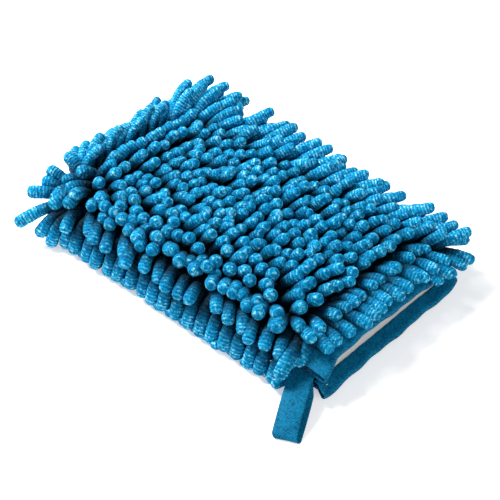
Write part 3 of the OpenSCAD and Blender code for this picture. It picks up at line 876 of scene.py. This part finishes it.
print("Combing at the middle: bearing and leans", combing(0, 0))

# %% Rows on top
ROWS = len([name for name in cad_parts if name.startswith("top_noodles_")])
ROW_PITCH = (LAST_EDGE - FIRST_EDGE) / ROWS
TUFT_PITCH = 8.4
TUFT_DEPTH = 0.8
BROW_Y, BROW_L, BROW_R = -49.0, 22, 4.1


def row_noodles(number):
    chance = random.Random(100 + number)
    x = FIRST_EDGE + (number - 0.5) * ROW_PITCH
    reach = min(half_width(x - (ROW_PITCH - 1) / 2), HALF_W) - ROLL_W
    count = int(2 * reach / TUFT_PITCH)
    pitch = 2 * reach / count
    made = []
    for index in range(count):
        y = (index + 0.5) * pitch - reach
        bearing, leans = combing(x, y + chance.gauss(0, 4))
        root = (x + chance.gauss(0, 0.6), y + chance.gauss(0, 0.5), top_face(x, y) - TUFT_DEPTH)
        loose = (1 - 0.7 * ease(74, 99, x)) * (1 - 0.25 * ease(-10, -40, y))
        length = NOODLE_L + 5 * ease(88, 102, x) * ease(-42, -20, y)
        radius = NOODLE_R + 0.5 * ease(-20, -46, y)
        made.append(noodle(chance, root, bearing, leans, length, loose=loose, radius=radius))
    if 1 < number < ROWS:
        x += ROW_PITCH / 2
        y = BROW_Y + chance.gauss(0, 3)
        bearing, leans = combing(x, y)
        root = (x, y, top_face(x, y) - TUFT_DEPTH)
        made.append(noodle(chance, root, bearing, leans, BROW_L, radius=BROW_R))
    return made


top_total = 0
for number in range(1, ROWS + 1):
    name = f"top_noodles_{number:02d}"
    noodles = row_noodles(number)
    make_noodles(name, noodles, [name])
    top_total += len(noodles)
print(ROWS, "rows on top with", top_total, "noodles")

# %% [markdown]
# ## The front fringe
# Longer noodles are rooted along the seam. In front they arch over and hang to the floor in one even
# curtain, with a looser tier above it and three noodles that close the gap beside the loop. Each side of
# the fringe is one piece, as in the CAD model. They share one stream of chance, apart from the fillers
# behind, which have their own.

# %% Front fringe
FRINGE_X, FRINGE_Y = -118.4, 61.4
ROOT_DEPTH = 0.6
BESIDE_LOOP = [(96.0, -55.0, -70, 27), (105.0, -48.5, -78, 27), (100.5, -58.5, -78, 33)]


def along_side(start, end, count):
    step = (end - start) / count
    return [start + (index + 0.5) * step for index in range(count)]


def rooted(x, y, depth=ROOT_DEPTH):
    """A root that sits a little way into the upper base cloth."""
    return (x, y, top_face(x, y) - depth)


chance = random.Random(11)
front = []
for x in along_side(CORNER_X - 3, 101, 19):
    root = (x, -FRINGE_Y - 0.6, top_face(x, -FRINGE_Y) - ROOT_DEPTH)
    front.append(noodle(chance, root, -92, [82, 140, 160, 163], 30.5, loose=0.3, radius=4.4))
for x in along_side(CORNER_X - 8, 94, 17):
    inset = 2.4 + chance.gauss(0, 1.6)
    root = rooted(x, inset - FRINGE_Y)
    front.append(noodle(chance, root, -58, [46, 84, 108, 124], 25, loose=0.6, radius=4.0))
for x, y, bearing, length in BESIDE_LOOP:
    root = rooted(x, y, 2.0)
    front.append(noodle(chance, root, bearing, [44, 88, 122, 138], length, loose=0.3, radius=4.1))
make_noodles("front_fringe", front, ["front_fringe"])
print("Front fringe of", len(front), "noodles")

# %% [markdown]
# ## The rear fringe
# Behind, three tiers of noodles reach out almost level and turn towards the cuff, and a low tier hangs
# under them. Near the cuff they are shorter and turn less, so their numbers ease along the side. Fillers
# sit between the tips, because the real fringe shows no gaps there, and five noodles go round the corner.

# %% Rear fringe
REAR_END, REAR_COUNT = 104, 18
TIER_SHIFT, FILLER_SHIFT = 5, 10.6
LOW_LEANS, LOW_L, LOW_DEPTH = [84, 124, 142, 148], 25, 1.0
rear_places = along_side(CORNER_X, REAR_END, REAR_COUNT)


def along_rear(x):
    return (x - CORNER_X) / (REAR_END - CORNER_X)


rear = []
for x in rear_places:
    share = along_rear(x)
    root = rooted(x, FRINGE_Y + 3)
    length, turn = 42 - 7 * share, -24 + 19 * share
    rear.append(noodle(chance, root, 82 - 14 * share, [60, 90, 100, 106], length, loose=0.6, turn=turn))
    root = (x + TIER_SHIFT, FRINGE_Y, top_face(x, FRINGE_Y) - ROOT_DEPTH)
    length, turn = 48 - 12 * share, -34 + 29 * share
    rear.append(noodle(chance, root, 82 - 18 * share, [40, 67, 78, 84], length, loose=0.6, turn=turn))
    root = rooted(x, FRINGE_Y - 5)
    length, turn = 34 - 5 * share, -30 + 26 * share
    rear.append(noodle(chance, root, 70 - 22 * share, [28, 52, 64, 70], length, loose=0.8, turn=turn))
    root = rooted(x, FRINGE_Y + 6, LOW_DEPTH)
    rear.append(noodle(chance, root, 86 - 10 * share, LOW_LEANS, LOW_L, loose=0.6))
between_tips = random.Random(23)
for x in rear_places[:-1]:
    share = along_rear(x)
    root = (x + FILLER_SHIFT, FRINGE_Y + 1, top_face(x, FRINGE_Y + 1) - ROOT_DEPTH)
    length, turn = 41 - 9 * share, -34 + 29 * share
    rear.append(noodle(between_tips, root, 82 - 18 * share, [44, 71, 82, 88], length, loose=0.4, turn=turn))
for index in range(5):
    root = (104.5, 67 - 5 * index, top_face(103, 64 - 5 * index) - ROOT_DEPTH)
    rear.append(noodle(chance, root, 26 - 8 * index, [60, 90, 104, 112], 30 - index, loose=0.4))
make_noodles("rear_fringe", rear, ["rear_fringe"])
print("Rear fringe of", len(rear), "noodles")

# %% [markdown]
# ## The closed end
# At the closed end the noodles come out over the seam and then turn along it, towards the rear corner.
# Four tiers lie over one another: two long ones, a short steep one that joins them to the pile on top,
# and a low one that hides the seam.

# %% End fringe
closed_end = []
for y in along_side(-CORNER_Y, CORNER_Y, 11):
    share = (y + CORNER_Y) / (2 * CORNER_Y)
    root = (FRINGE_X - 2.5, y + 2, top_face(FRINGE_X - 2, y) - LOW_DEPTH)
    closed_end.append(noodle(chance, root, 176, [46, 68, 79, 84], 38 + 3 * share, loose=0.6, turn=-84))
    root = rooted(FRINGE_X, y)
    closed_end.append(noodle(chance, root, 150, [30, 58, 76, 84], 39 + 4 * share, loose=0.6, turn=-64))
    root = (FRINGE_X + 8, y + 3, top_face(FRINGE_X + 8, y) - ROOT_DEPTH)
    closed_end.append(noodle(chance, root, 92, [16, 36, 50, 56], 26, loose=0.7, turn=-30))
    root = rooted(FRINGE_X - 4, y, LOW_DEPTH)
    closed_end.append(noodle(chance, root, 172, LOW_LEANS, LOW_L, loose=0.6))
make_noodles("end_fringe", closed_end, ["end_fringe"])
print("End fringe of", len(closed_end), "noodles")

# %% [markdown]
# ## The two corners
# Each corner of the closed end is a bundle of its own, and what shows most in the outline is set noodle by
# noodle: where it is rooted, its bearing, its leans from root to tip and its length. The front bundle leads
# from the splayed end to the hanging curtain. In the rear one each long, turning noodle has a lower and a
# higher neighbour, a few more fill the inside of the corner, and a low tier hides the seam.

# %% Front corner
FRONT_CORNER = [
    (-119.5, -35.0, 178, [38, 58, 68, 74], 29),
    (-118.0, -48.0, 204, [36, 52, 58, 60], 27),
    (-117.5, -52.0, 214, [40, 62, 72, 78], 25),
    (-117.0, -56.0, 232, [45, 70, 82, 88], 31),
    (-113.0, -62.0, 250, [62, 95, 110, 116], 39),
    (-106.5, -65.5, 245, [72, 115, 140, 148], 30),
    (-101.0, -66.0, 252, [76, 132, 156, 162], 31),
    (-116.0, -45.0, 256, [34, 80, 108, 122], 27),
    (-109.5, -51.0, 258, [36, 82, 108, 122], 27),
    (-102.0, -53.0, 222, [40, 76, 96, 104], 25),
    (-116.0, -37.0, 242, [28, 62, 88, 100], 24),
    (-111.5, -30.0, 248, [22, 46, 64, 72], 23),
    (-107.0, -41.0, 250, [28, 62, 88, 100], 24),
    (-107.0, -50.5, 282, [30, 66, 92, 104], 24),
]
front_corner = []
for x, y, bearing, leans, length in FRONT_CORNER:
    front_corner.append(noodle(chance, rooted(x, y), bearing, leans, length, loose=0.1, radius=4.6))
make_noodles("front_corner_fringe", front_corner, ["front_corner_fringe"])
print("Front corner of", len(front_corner), "noodles")

# %% Rear corner
REAR_CORNER = [
    (-117.0, 48.0, 150, [24, 48, 63, 70], 49, -82),
    (-115.0, 54.0, 142, [20, 47, 68, 78], 55, -82),
    (-111.5, 59.5, 124, [18, 49, 75, 85], 52, -66),
    (-109.5, 61.5, 124, [24, 54, 76, 84], 44, -48),
    (-107.0, 63.5, 106, [26, 56, 80, 90], 49, -48),
    (-101.5, 66.0, 96, [36, 64, 80, 90], 46, -40),
]
INSIDE_CORNER = [(-106.0, 52.0), (-104.0, 60.0), (-97.0, 57.0), (-95.0, 63.0)]
LOW_RADIUS = 21
rear_corner = []
for x, y, bearing, leans, length, turn in REAR_CORNER:
    rear_corner.append(noodle(chance, rooted(x, y), bearing, leans, length, loose=0.3, turn=turn))
    root = (x - 1, y + 1, top_face(x, y) - 1.5)
    lower = [lean + 15 for lean in leans]
    rear_corner.append(noodle(chance, root, bearing + 10, lower, length - 6, loose=0.3, turn=turn))
    root = rooted(x + 4, y - 3)
    higher = [lean - 10 for lean in leans]
    rear_corner.append(noodle(chance, root, bearing - 4, higher, length - 8, loose=0.3, turn=turn))
for x, y in INSIDE_CORNER:
    rear_corner.append(noodle(chance, rooted(x, y), 84, [24, 52, 68, 76], 36, loose=0.6, turn=-34))
root = rooted(-113.0, 57.0)
rear_corner.append(noodle(chance, root, 124, [26, 54, 70, 76], 41, loose=0.1, turn=-28))
for bearing in range(100, 180, 13):
    x = CORNER_X + LOW_RADIUS * math.cos(math.radians(bearing))
    y = CORNER_Y + LOW_RADIUS * math.sin(math.radians(bearing))
    rear_corner.append(noodle(chance, rooted(x, y, LOW_DEPTH), bearing, LOW_LEANS, LOW_L, loose=0.6))
make_noodles("rear_corner_fringe", rear_corner, ["rear_corner_fringe"])
fringe_total = sum(len(side) for side in (front, rear, closed_end, front_corner, rear_corner))
print("Rear corner of", len(rear_corner), "noodles, whole fringe of", fringe_total)

# %% [markdown]
# ## The pile underneath
# The mitt lies on its other pile, so those noodles are pressed flat between the base cloth and the
# floor. They are combed outwards from the middle, and the outer ones peep out below the fringe. Each
# slants down from the cloth, turns along the floor and is a little wider than it is high. Near the cuff
# the cloth sags and leaves less room, so there they set out flatter. They are hardly seen, so one level of
# rounding is enough.

# %% Rows underneath
UNDER_ROWS = len([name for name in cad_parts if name.startswith("bottom_noodles_")])
UNDER_PITCH, UNDER_SHIFT = 21, 5.25
UNDER_ROOTS = (4, 25, 46)
UNDER_DEPTH = 1.0


def under_noodles(number):
    chance = random.Random(300 + number)
    middle_x = (number - (UNDER_ROWS + 1) / 2) * UNDER_PITCH
    made = []
    for x in (middle_x - UNDER_SHIFT, middle_x + UNDER_SHIFT):
        leans = [132 - 30 * ease(88, 112, x), 100, 85, 83]
        for side in (-1, 1):
            for out in UNDER_ROOTS:
                y = side * out * half_width(x) / HALF_W
                bearing = 90 * side
                if x < -100:
                    bearing += 45 * side * (1 - abs(y) / 60)
                root = (x + chance.gauss(0, 0.6), y + chance.gauss(0, 1.2), bottom_face(x, y) + UNDER_DEPTH)
                length = 33.5 - 2.5 * side if abs(y) > 40 else 26
                made.append(noodle(chance, root, bearing, leans, length, loose=0.3, flat=1.1))
    return made


under_total = 0
for number in range(1, UNDER_ROWS + 1):
    name = f"bottom_noodles_{number:02d}"
    noodles = under_noodles(number)
    make_noodles(name, noodles, [name], levels=1)
    under_total += len(noodles)
print(UNDER_ROWS, "rows underneath with", under_total, "noodles")
